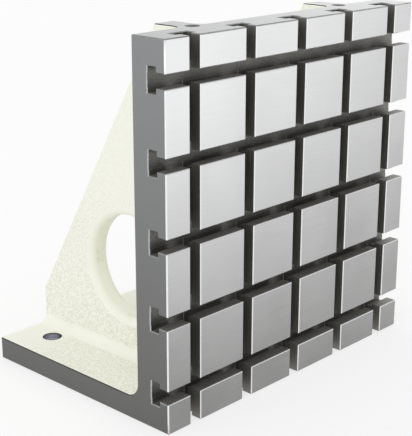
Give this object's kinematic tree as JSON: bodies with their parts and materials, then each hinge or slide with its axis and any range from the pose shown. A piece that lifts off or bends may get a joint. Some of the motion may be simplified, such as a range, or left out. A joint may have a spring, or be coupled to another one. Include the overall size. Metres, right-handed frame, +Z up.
{
  "type": "angle plate",
  "caption": "Cast iron angle plate: an upright clamping face with crossing T-slots on a drilled foot, braced by sloping ribs with round windows.",
  "frame": {"origin": "centre of the footprint on the base plane", "axes": "+Z up, X across the width, the slotted face looks along -Y and the foot and ribs reach back along +Y"},
  "size_m": [0.5, 0.345, 0.5],
  "materials": {
    "casting": "machined grey iron on the face, slots, sides, top and base; ivory paint on the cast faces behind"
  },
  "bodies": {
    "root": {"angle_plate": "casting"}
  },
  "joints": []
}
